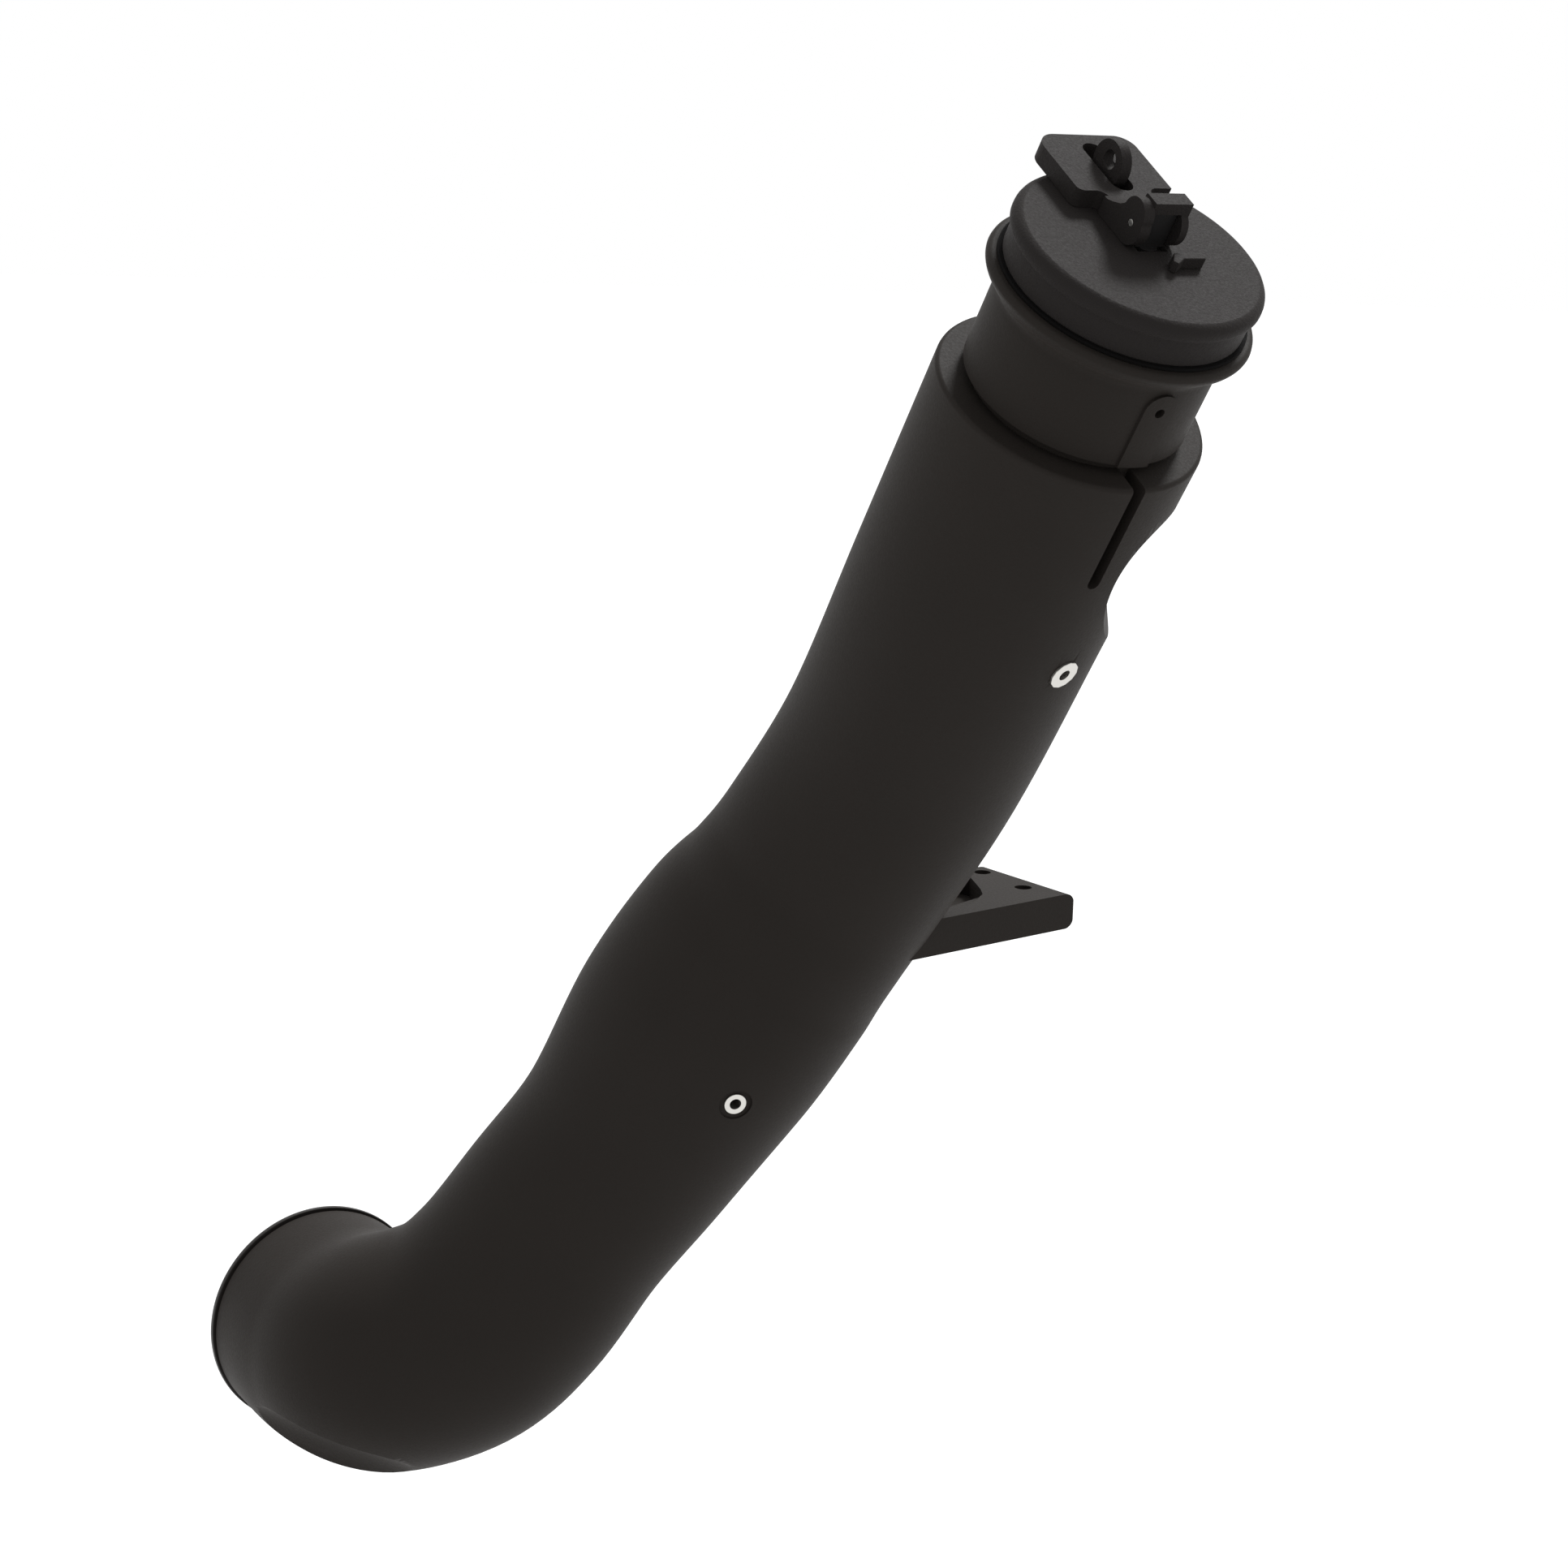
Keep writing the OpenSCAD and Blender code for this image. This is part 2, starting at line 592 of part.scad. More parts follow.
module staple_screw(s) at_cap() translate([staple_u + s * 7.2, staple_v - 5, 0]) difference() {
  union() {
    translate([0, 0, -disc_t - foot_t - 0.5]) cylinder(h = foot_t + disc_t - 1.5, r = screw_r);
    translate([0, 0, -disc_t - foot_t - 2.62]) cylinder(h = 2.6, r = screw_head_r);
  }
  translate([0, 0, -disc_t - foot_t - 3]) cylinder(h = 2, r = 1.6, $fn = 6);
}
module staple_screw_l() color("#b4b2ad") staple_screw(-1);
module staple_screw_r() color("#b4b2ad") staple_screw(1);
module stop_lug() color("#343230") at_cap() translate([0, 0, 0.02]) linear_extrude(lug_h)
  polygon([[6.3, lug_front + lug_t], [20.3, lug_front + lug_t], [20.3, lug_front],
    [9.2, lug_front], [4.4, lug_front - 3.3], [2.6, lug_front - 1.6]]);

// ---- lever ----
module blade_plan() difference() {
  union() {
    translate([lever_u - blade_w / 2, blade_near_l]) square([blade_w, blade_end - blade_near_l]);
    translate([lever_u - arm_w / 2, pin_v]) square([arm_w, blade_near_r]);
    // fillets into the arm
    translate([lever_u - arm_w / 2 - arm_fillet, blade_near_l - arm_fillet]) difference() {
      square(arm_fillet + 0.01);
      circle(r = arm_fillet);
    }
    translate([lever_u + arm_w / 2, blade_near_r - arm_fillet]) difference() {
      square(arm_fillet);
      translate([arm_fillet, 0]) circle(r = arm_fillet);
    }
  }
  translate([lever_u + arm_w / 2 + arm_fillet, 0]) square([blade_w, blade_near_r]);
  translate([lever_u + arm_w / 2, blade_near_l - 1]) difference() {
    square([arm_fillet + 0.01, blade_near_r - blade_near_l + 1]);
    translate([0, blade_near_r - blade_near_l + 1 - arm_fillet]) difference() {
      square(arm_fillet);
      translate([arm_fillet, 0]) circle(r = arm_fillet);
    }
  }
  // corners
  translate([lever_u - blade_w / 2, blade_end - blade_corner_l]) difference() {
    translate([-1, 0]) square([blade_corner_l + 1, blade_corner_l + 1]);
    translate([blade_corner_l, 0]) circle(r = blade_corner_l);
  }
  translate([lever_u + blade_w / 2 - blade_corner_r, blade_end - blade_corner_r]) difference() {
    square(blade_corner_r + 1);
    circle(r = blade_corner_r);
  }
  translate([lever_u - blade_w / 2, blade_near_l]) difference() {
    translate([-1, -1]) square(blade_near_round + 1);
    translate([blade_near_round, blade_near_round]) circle(r = blade_near_round);
  }
  // slot for the staple
  translate([staple_u - slot_w / 2, slot_near + slot_w / 2])
    square([slot_w, slot_far - slot_near - slot_w]);
  for (v = [slot_near + slot_w / 2, slot_far - slot_w / 2]) translate([staple_u, v])
    circle(r = slot_w / 2);
}
module cam_face() union() {
  translate(cam_at) circle(r = cam_r);
  polygon([[bar_front, 14.5], [bar_front, bar_top], [bar_back, bar_top], [6.6, 17.6],
    [8.6, 14.6], [12, 11.8], [16, 9.8], [20, blade_gap + blade_t], [22, blade_gap + blade_t],
    [22, blade_gap], [cam_at[0], blade_gap], [cam_at[0], 8]]);
}
module cam_lever() color("#343230") at_cap() difference() {
  union() {
    translate([0, 0, blade_gap]) linear_extrude(blade_t) blade_plan();
    across(cam_u - cam_w / 2, cam_u + cam_w / 2) translate(cam_at) circle(r = cam_r);
    across(cam_u - cam_w / 2 + knuckle_w, cam_u + cam_w / 2) cam_face();
    across(cam_u - cam_w / 2, cam_u - cam_w / 2 + knuckle_w) union() {
      translate([2.4, 13.6]) circle(r = knuckle_r);
      polygon([[cam_at[0], blade_gap], [22, blade_gap], [22, blade_gap + blade_t],
        [20, blade_gap + blade_t], [16, 9.8], [12, 11.8], [8.6, 14.6], [2.4, 13.6]]);
    }
  }
  // window for the post, open below and in front
  translate([post_u - window_w / 2, -20, -5]) cube([window_w, 20 + 9, bar_under + 5]);
  translate([cam_u - 20, pin_v, pin_z]) rotate([0, 90, 0]) cylinder(h = 40, r = pin_r + pin_fit);
}
module hinge_pin() color("#b4b2ad") at_cap() translate([cam_u - cam_w / 2 + 0.1, pin_v, pin_z])
  rotate([0, 90, 0]) cylinder(h = cam_w - 0.2, r = pin_r);
module eye_bolt() color("#3a3836") at_cap() difference() {
  union() {
    intersection() {
      translate([post_u - post_w / 2, 0, 0]) union() {
        translate([0, pin_v, pin_z]) rotate([0, 90, 0]) cylinder(h = post_w, r = post_r);
        translate([0, pin_v - post_r, -0.3]) cube([post_w, 2 * post_r, pin_z + 0.3]);
      }
      translate([post_u - 20, post_front, -0.3]) cube([40, post_back - post_front, 30]);
    }
    translate([post_u, pin_v, nut_under - tail]) cylinder(h = -nut_under + tail - 0.3, r = stem_r);
  }
  translate([post_u - 20, pin_v, pin_z]) rotate([0, 90, 0]) cylinder(h = 40, r = pin_r + 0.01);
}
module on_stem(z0, h, r, sides) at_cap() translate([post_u, pin_v, z0]) difference() {
  cylinder(h = h, r = r, $fn = sides);
  translate([0, 0, -1]) cylinder(h = h + 2, r = stem_r + 0.02);
}
module pressure_plate() color("#3a3836") at_cap() translate([0, 0, plate_under]) difference() {
  cylinder(h = plate_t - 0.02, r = plate_r);
  translate([post_u, pin_v, -1]) cylinder(h = plate_t + 2, r = stem_r + 0.02);
}
module plate_washer() color("#a9a7a2") on_stem(washer_under + 0.02, washer_t - 0.04, washer_r, 96);
module lock_nut() color("#a9a7a2") on_stem(nut_under, nut_h, nut_r, 6);

tube_body();
side_bracket();
outlet_ring();
outlet_seal();
neck_sleeve();
upper_insert();
lower_insert();
cap_body();
cap_hub();
cap_gasket();
expansion_ring();
staple();
staple_screw_l();
staple_screw_r();
stop_lug();
cam_lever();
eye_bolt();
hinge_pin();
pressure_plate();
plate_washer();
lock_nut();
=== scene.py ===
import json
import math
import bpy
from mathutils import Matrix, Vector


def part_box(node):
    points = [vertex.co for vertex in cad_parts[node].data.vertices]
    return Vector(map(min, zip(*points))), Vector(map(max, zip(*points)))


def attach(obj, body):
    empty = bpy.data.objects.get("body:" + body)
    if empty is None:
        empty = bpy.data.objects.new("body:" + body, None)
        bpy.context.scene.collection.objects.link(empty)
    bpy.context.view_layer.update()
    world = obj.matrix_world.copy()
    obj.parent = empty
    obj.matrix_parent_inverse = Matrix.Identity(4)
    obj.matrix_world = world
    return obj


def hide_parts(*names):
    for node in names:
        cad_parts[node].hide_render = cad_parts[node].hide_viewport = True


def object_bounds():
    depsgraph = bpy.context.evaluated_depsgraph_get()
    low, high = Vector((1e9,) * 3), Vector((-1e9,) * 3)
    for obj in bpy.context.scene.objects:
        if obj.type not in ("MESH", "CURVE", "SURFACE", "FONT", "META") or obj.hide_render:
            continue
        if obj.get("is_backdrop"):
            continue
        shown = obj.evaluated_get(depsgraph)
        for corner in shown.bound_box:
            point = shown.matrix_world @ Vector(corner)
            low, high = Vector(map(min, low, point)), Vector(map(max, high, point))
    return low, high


bl_info = {
    "name": "Raised Air Intake",
    "version": (1, 0, 0),
    "blender": (4, 5, 0),
    "location": "3D View > Sidebar > Air Intake",
    "description": "Builds the visible pieces of a raised air intake around its packed frame",
    "category": "Add Mesh",
}

import bmesh
import bpy
from bpy.props import FloatProperty, FloatVectorProperty, IntProperty, PointerProperty
from mathutils import Matrix, Vector

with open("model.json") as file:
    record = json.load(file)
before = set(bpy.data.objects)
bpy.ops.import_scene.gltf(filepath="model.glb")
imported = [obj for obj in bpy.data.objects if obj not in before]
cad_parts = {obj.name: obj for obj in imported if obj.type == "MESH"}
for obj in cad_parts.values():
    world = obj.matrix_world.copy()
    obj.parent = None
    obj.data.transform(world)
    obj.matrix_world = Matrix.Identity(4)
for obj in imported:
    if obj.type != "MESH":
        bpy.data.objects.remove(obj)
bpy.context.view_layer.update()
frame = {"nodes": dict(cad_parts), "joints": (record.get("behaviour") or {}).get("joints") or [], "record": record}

MM = 0.001
SMOOTH_BELOW = math.radians(34)  # edges that turn less than this shade smooth
X_AXIS, Y_AXIS = Vector((1, 0, 0)), Vector((0, 1, 0))

# ---- places taken from the frame ----
joints = {joint["name"]: joint for joint in frame["joints"]}
mounts = {mount["name"]: mount for mount in frame["record"]["mounts"]}
NECK_WAY = Vector(joints["cap_lift"]["axis"]).normalized()
HINGE = Vector(joints["lever_hinge"]["pos_m"])
HINGE_IN_CAP = Vector((2.25, 2.2, 9.5)) * MM
CAP_ABOVE_RIM = 76.7 * MM


def basis(origin, across, along, up):
    """The matrix of a frame with that origin and those three axes."""
    turned = Matrix((across, along, up)).transposed().to_4x4()
    return Matrix.Translation(origin) @ turned


def aimed(origin, way):
    """The matrix of a frame at origin whose Z points along way."""
    return Matrix.Translation(origin) @ Vector(way).to_track_quat("Z", "Y").to_matrix().to_4x4()


def at(u, v, z):
    """A shift given in millimetres."""
    return Matrix.Translation(Vector((u, v, z)) * MM)


NECK_TURN = basis(Vector(), X_AXIS, NECK_WAY.cross(X_AXIS), NECK_WAY)
CAP = Matrix.Translation(HINGE - NECK_TURN @ HINGE_IN_CAP) @ NECK_TURN
NECK = CAP @ Matrix.Translation((0, 0, -CAP_ABOVE_RIM))
OUTLET = Vector(mounts["outlet"]["pos_m"])
ELBOW = OUTLET - 73 * MM * Y_AXIS


def half_width(node):
    """Half of a node's X extent, in mm: the radius of a round node whose axis lies square to X."""
    low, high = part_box(node)
    return (high.x - low.x) / 2 / MM


# Centreline of the tube from the rim to the seal: x, y, z and radius in millimetres.
STATIONS = (
    (-97, -168.5, 253, 59.5), (-98, -113, 170, 58.9), (-99, -57, 87, 58.2),
    (-112, -21, 30, 58.5), (-123, -5, 2, 60), (-135, 11, -24, 64), (-155, 30, -66, 64.5),
    (-181, 51, -121, 58), (-206, 69, -162, 57), (-230, 84, -202, 58.5),
    (-252, 98, -226, 59.5), (-278, 122, -240, 59.5), (-284, 155, -246, 57.5),
    (-284, 195.8, -247, 57),
)
# Underside recess: its axis, and how far and which way that lies from the elbow, in millimetres.
RECESS_ALONG = Vector((0.62, -0.75, -0.21))
RECESS_OUT = 86 * Vector((-0.677, -0.398, -0.619))
RECESS_DOWN = 11 * Vector((0.381, 0.526, -0.755))
RECESS_AT = ELBOW + (RECESS_OUT + RECESS_DOWN) * MM
# Lower insert: the middle of the tube behind it and the way it points.
LOWER_ON = Vector((-155, 29, -67.5)) * MM
LOWER_WAY = Vector(mounts["lower_thread"]["axis"])
# Upper insert: across the collar, 103 mm below the rim.
UPPER_TURN = Matrix.Rotation(math.radians(-81), 4, "Z")
UPPER = NECK @ UPPER_TURN @ at(0, 0, -103) @ Matrix.Rotation(math.radians(90), 4, "Y")
# Outlet: its frame points outwards along +Y.
OUTLET_FACE = basis(OUTLET, X_AXIS, Y_AXIS.cross(X_AXIS), Y_AXIS)
# Camera: where it stands, which way it looks and which way is up, roughly.
CAMERA_AT = Vector((-0.8326, -1.1489, 0.3433))
CAMERA_WAY = Vector((0.5112, 0.8344, -0.2057))
CAMERA_UP = Vector((0.087, 0.188, 0.978))
CAMERA_LENS = 67.17
# The key light comes from this side.
KEY_FROM = Vector((0.96, 0.34, 1.43))


def length(name, text, default):
    """A length property in metres."""
    return FloatProperty(name=name, description=text, default=default, unit="LENGTH", precision=5)


def count(name, text, default, low, high):
    """A whole-number property."""
    return IntProperty(name=name, description=text, default=default, min=low, max=high)


def linear(code):
    """A colour written as an sRGB hex code, as the linear red, green, blue and alpha that shaders take."""
    parts = [int(code[i : i + 2], 16) / 255 for i in (1, 3, 5)]
    return tuple(c / 12.92 if c <= 0.04045 else ((c + 0.055) / 1.055) ** 2.4 for c in parts) + (1.0,)


def colour(name, text, code):
    """A colour property whose default is an sRGB hex code."""
    return FloatVectorProperty(
        name=name, description=text, subtype="COLOR", size=4, min=0, max=1, default=linear(code),
    )


class IntakeSizes(bpy.types.PropertyGroup):
    """Sizes that a user may change."""

    wall: length("Wall", "Thickness of the moulded wall", 0.004)
    rim_round: length("Rim rounding", "Radius of the collar's rim", 0.002)
    edge_round: length("Edge rounding", "Rounding of the small fittings' edges", 0.00045)
    slit_width: length("Slit width", "Width of the clamping slit", 0.006)
    slit_length: length("Slit length", "Length of the clamping slit", 0.053)
    scoop_radius: length("Scoop radius", "Radius of the finger scoop", 0.06)
    recess_radius: length("Recess radius", "Radius of the underside recess", 0.045)
    around: count("Segments", "Segments around the tube", 128, 32, 192)
    along: count("Steps", "Rings between two stations of the tube", 9, 3, 16)


class IntakeColours(bpy.types.PropertyGroup):
    """Colours that a user may change."""

    moulding: colour("Moulding", "Black polyethylene of tube, neck and bracket", "#332f2c")
    cap: colour("Cap", "Textured black plastic of cap and lever", "#343130")
    trim: colour("Outlet trim", "Smooth black plastic of the outlet ring", "#2f2c2a")
    rubber: colour("Rubber", "Gasket, seal and expansion ring", "#141313")
    insert: colour("Insert", "Bare turned metal of the threaded inserts", "#d4d2cd")
    zinc: colour("Zinc", "Plated steel of screws, pin, washer and nut", "#b9b8b4")
    coated: colour("Coated steel", "Black coated steel of eye bolt and plate", "#2c2b2b")
    floor: colour("Floor", "Pale studio floor", "#bcbcbc")


# ---- materials ----
def add(tree, kind, settings=None, **links):
    """Adds a shader node, sets its properties and sockets, and links the outputs that are given."""
    node = tree.nodes.new(kind)
    for key, value in (settings or {}).items():
        if key in node.inputs:
            node.inputs[key].default_value = value
        else:
            setattr(node, key, value)
    for key, output in links.items():
        tree.links.new(output, node.inputs[key.replace("_", " ")])
    return node


CLOUD_MM = 45  # size of the soft patches of colour


def surface(name, base, shade, roughness, spread, grain_mm, relief_mm, settings):
    """A node material: the colour clouded with a darker shade, fine grain in relief and roughness."""
    material = bpy.data.materials.new(name)
    material.use_nodes = True
    tree = material.node_tree
    tree.nodes.clear()
    dark = tuple(c * shade for c in base[:3]) + (1.0,)
    here = add(tree, "ShaderNodeTexCoord").outputs["Object"]
    soft = {"Scale": 1000 / CLOUD_MM, "Detail": 2.0, "Roughness": 0.5}
    cloud = add(tree, "ShaderNodeTexNoise", soft, Vector=here)
    fine = {"Scale": 1000 / grain_mm, "Detail": 2.0, "Roughness": 0.6}
    grain = add(tree, "ShaderNodeTexNoise", fine, Vector=here)
    depth = add(tree, "ShaderNodeMapRange", {"From Min": 0.3, "From Max": 0.7}, Value=grain.outputs["Fac"])
    tint = add(tree, "ShaderNodeMixRGB", {"Color1": base, "Color2": dark}, Fac=cloud.outputs["Fac"])
    range_of = {"To Min": roughness - spread, "To Max": roughness + spread}
    gloss = add(tree, "ShaderNodeMapRange", range_of, Value=depth.outputs["Result"])
    height = {"Strength": 1.0, "Distance": relief_mm * MM}
    relief = add(tree, "ShaderNodeBump", height, Height=depth.outputs["Result"])
    shader = add(
        tree, "ShaderNodeBsdfPrincipled", settings, Base_Color=tint.outputs["Color"],
        Roughness=gloss.outputs["Result"], Normal=relief.outputs["Normal"],
    )
    add(tree, "ShaderNodeOutputMaterial", Surface=shader.outputs["BSDF"])
    return material


# Slot of the record -> finish: name, colour, darkest shade, roughness and its spread, grain and relief
# in millimetres, and the shader's other settings.
FINISHES = {
    # rotationally moulded polyethylene: matt black, softly clouded, with a fine sandy grain
    # (the real grain of about 0.4 mm is drawn at 1.2 mm so that it shows)
    "moulding": (
        "rotomoulded_polyethylene", "moulding", 0.86, 0.58, 0.04, 1.2, 0.035, {"Specular IOR Level": 0.08},
    ),
    # glass-filled nylon from a spark-textured mould: matt, with a deeper grain that speckles flat faces
    "cap_plastic": ("spark_textured_nylon", "cap", 0.9, 0.6, 0.05, 1.2, 0.09, {"Specular IOR Level": 0.06}),
    # injection-moulded ABS: smoother and a little glossier than the tube
    "outlet_trim": ("moulded_abs", "trim", 0.92, 0.3, 0.02, 0.9, 0.003, {"Specular IOR Level": 0.16}),
    # moulded EPDM: dull and dark, with almost no highlight
    "seal_rubber": ("moulded_epdm", "rubber", 0.8, 0.8, 0.05, 1.4, 0.01, {"Specular IOR Level": 0.06}),
    # free-turned steel, nickel bright: pale metal with a faint turned roughness
    "bare_insert": ("turned_nickelled_steel", "insert", 0.85, 0.34, 0.06, 0.7, 0.004, {"Metallic": 1.0}),
    # zinc-plated steel: pale metal, slightly frosted
    "zinc_steel": ("zinc_plated_steel", "zinc", 0.8, 0.38, 0.08, 1.2, 0.004, {"Metallic": 1.0}),
    # e-coated steel: thin black film, slightly glossier than the plastics
    "dark_steel": ("ecoated_steel", "coated", 0.9, 0.45, 0.05, 0.9, 0.01, {"Specular IOR Level": 0.14}),
}


def finish_for(slot):
    """The material of one of the record's slots, made once."""
    name, colour_name, *rest = FINISHES[slot]
    if name in bpy.data.materials:
        return bpy.data.materials[name]
    return surface(name, tuple(getattr(bpy.context.scene.intake_colours, colour_name)), *rest)


# ---- modelling ----
def verts_of(made):
    """The vertices among what an operator made."""
    return [e for e in made["geom"] if isinstance(e, bmesh.types.BMVert)]


def edges_of(made):
    """The edges among what an operator made."""
    return [e for e in made["geom"] if isinstance(e, bmesh.types.BMEdge)]


def drum(radius, low, high, place, segments=96):
    """A cylinder of that radius about place's Z, from one height to another, all in millimetres."""
    bm = bmesh.new()
    bmesh.ops.create_cone(
        bm, cap_ends=True, segments=segments, radius1=radius * MM, radius2=radius * MM,
        depth=(high - low) * MM, matrix=place @ at(0, 0, (low + high) / 2),
    )
    return bm


def block(low, high, place):
    """A box between two corners given in millimetres in place's frame."""
    low, high = Vector(low) * MM, Vector(high) * MM
    bm = bmesh.new()
    size = Matrix.Diagonal((*(high - low), 1))
    bmesh.ops.create_cube(bm, size=1, matrix=place @ Matrix.Translation((low + high) / 2) @ size)
    return bm


def prism(points, low, high, place=Matrix()):
    """A flat outline of a few corners, raised from one height to another, in millimetres."""
    bm = bmesh.new()
    corners = [bm.verts.new(place @ Vector((x * MM, y * MM, low * MM))) for x, y in points]
    bottom = bmesh.ops.contextual_create(bm, geom=corners)["faces"]
    raised = bmesh.ops.extrude_face_region(bm, geom=bottom, use_keep_orig=True)
    lift = place.to_3x3() @ Vector((0, 0, (high - low) * MM))
    bmesh.ops.translate(bm, vec=lift, verts=verts_of(raised))
    bmesh.ops.recalc_face_normals(bm, faces=bm.faces)
    return bm


def turned(profile, place, segments=160, loop=False):
    """A solid turned about place's Z from points of (radius, height) in millimetres."""
    bm = bmesh.new()
    chain = [bm.verts.new((r * MM, 0, z * MM)) for r, z in profile]
    pairs = list(zip(chain, chain[1:])) + ([(chain[-1], chain[0])] if loop else [])
    lines = [bm.edges.new(pair) for pair in pairs]
    bmesh.ops.spin(
        bm, geom=chain + lines, cent=(0, 0, 0), axis=(0, 0, 1), dvec=(0, 0, 0), angle=math.tau,
        steps=segments, use_merge=True, use_duplicate=False,
    )
    bmesh.ops.remove_doubles(bm, verts=bm.verts, dist=1e-6)
    bmesh.ops.recalc_face_normals(bm, faces=bm.faces)
    bmesh.ops.transform(bm, matrix=place, verts=bm.verts)
    return bm


def swept(places, segments):
    """A closed solid through rings given as (matrix, radius), each ring in its matrix's XY plane."""
    bm = bmesh.new()
    first, radius = places[0]
    last = first @ Matrix.Scale(radius, 4)
    made = bmesh.ops.create_circle(bm, segments=segments, radius=1, cap_ends=True, matrix=last)
    ring = list({e for v in made["verts"] for e in v.link_edges})
    for place, radius in places[1:]:
        here = place @ Matrix.Scale(radius, 4)
        grown = bmesh.ops.extrude_edge_only(bm, edges=ring)
        new = set(verts_of(grown))
        bmesh.ops.transform(bm, matrix=here @ last.inverted(), verts=list(new))
        ring = [e for e in edges_of(grown) if all(v in new for v in e.verts)]
        last = here
    bmesh.ops.contextual_create(bm, geom=ring)
    bmesh.ops.recalc_face_normals(bm, faces=bm.faces)
    return bm


def spline(points, steps):
    """Catmull-Rom points through the given ones, which are vectors of any size."""
    ends = [2 * points[0] - points[1]] + points + [2 * points[-1] - points[-2]]
    out = []
    for a, b, c, d in zip(ends, ends[1:], ends[2:], ends[3:]):
        slope, bend, twist = c - a, 2 * a - 5 * b + 4 * c - d, 3 * b - a - 3 * c + d
        for t in (k / steps for k in range(steps)):
            out.append(0.5 * (2 * b + slope * t + bend * t * t + twist * t ** 3))
    return out + [points[-1].copy()]


def tube_places(shrink, steps, below=None):
    """Ring matrices and radii along the tube, shrunk by a wall, and only those so far below the rim."""
    line = spline([Vector(s) for s in STATIONS], steps)
    places = []
    across = X_AXIS
    for i, s in enumerate(line):
        before, after = line[max(i - 1, 0)], line[min(i + 1, len(line) - 1)]
        way = Vector((after - before)[:3]).normalized()
        if i == 0:
            way = -NECK_WAY
        if i == len(line) - 1:
            way = Y_AXIS
        along = way.cross(across).normalized()
        across = along.cross(way)
        places.append((basis(Vector(s[:3]) * MM, across, along, way), s[3] * MM - shrink))
    if below is not None:
        up = NECK.inverted()
        places = [p for p in places if (up @ p[0].translation).z < -below]
    return places


def loose(bm):
    """A short-lived object that holds a bmesh, for a Boolean."""
    mesh = bpy.data.meshes.new("loose")
    bm.to_mesh(mesh)
    bm.free()
    obj = bpy.data.objects.new("loose", mesh)
    bpy.context.scene.collection.objects.link(obj)
    return obj


def combined(bm, others, operation="DIFFERENCE"):
    """bm after an exact Boolean with each of the other solids in turn, all of which are used up."""
    for other in others:
        held, tool = loose(bm), loose(other)
        step = held.modifiers.new("step", "BOOLEAN")
        step.operation, step.solver, step.object = operation, "EXACT", tool
        bm = bmesh.new()
        bm.from_object(held, bpy.context.evaluated_depsgraph_get())
        for obj in (held, tool):
            mesh = obj.data
            bpy.data.objects.remove(obj)
            bpy.data.meshes.remove(mesh)
        if not bm.faces:
            raise RuntimeError("a Boolean left nothing")
        bmesh.ops.remove_doubles(bm, verts=bm.verts, dist=2e-5)
        bmesh.ops.dissolve_degenerate(bm, dist=2e-5, edges=bm.edges)
    return bm


def sharp_edges(bm, above):
    """Edges between two faces that turn more than so many degrees."""
    limit = math.radians(above)
    return [e for e in bm.edges if len(e.link_faces) == 2 and e.calc_face_angle() > limit]


def edges_along(bm, axis, place, test):
    """Edges along an axis (0, 1 or 2) of place's frame whose ends, in mm in that frame, pass the test."""
    back = place.inverted()
    found = []
    for edge in bm.edges:
        a, b = (back @ v.co / MM for v in edge.verts)
        if abs((b - a).normalized()[axis]) > 0.99 and test(a) and test(b):
            found.append(edge)
    return found


def bevelled(bm, edges, width, segments, slide=False):
    """Rounds those edges by that width in metres."""
    bmesh.ops.bevel(
        bm, geom=edges, offset=width, offset_type="OFFSET", segments=segments, profile=0.5,
        affect="EDGES", clamp_overlap=True, material=-1, loop_slide=slide,
    )


def piece(name, bm, body, slot, node):
    """Makes the finished object of a piece, rides it on its body and hides the CAD node that it is shown in place
    of.
    """
    bmesh.ops.triangulate(bm, faces=[f for f in bm.faces if len(f.verts) > 4])
    mesh = bpy.data.meshes.new(name)
    bm.to_mesh(mesh)
    bm.free()
    obj = bpy.data.objects.new(name, mesh)
    bpy.context.scene.collection.objects.link(obj)
    mesh.materials.append(finish_for(slot))
    mesh.shade_smooth()
    mesh.set_sharp_from_angle(angle=SMOOTH_BELOW)
    finish = obj.modifiers.new("even_shading", "WEIGHTED_NORMAL")
    finish.keep_sharp = True
    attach(obj, body)
    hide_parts(node)


def softened(node, body, slot, width, segments):
    """A copy of a CAD node with its doubles merged, its flat faces joined and its sharp edges rounded."""
    bm = bmesh.new()
    bm.from_mesh(frame["nodes"][node].data)
    bmesh.ops.remove_doubles(bm, verts=bm.verts, dist=2e-6)
    bmesh.ops.dissolve_limit(
        bm, angle_limit=math.radians(0.3), verts=bm.verts, edges=bm.edges, use_dissolve_boundaries=False,
    )
    bevelled(bm, sharp_edges(bm, 30), width, segments, slide=True)
    piece(node + "_soft", bm, body, slot, node)


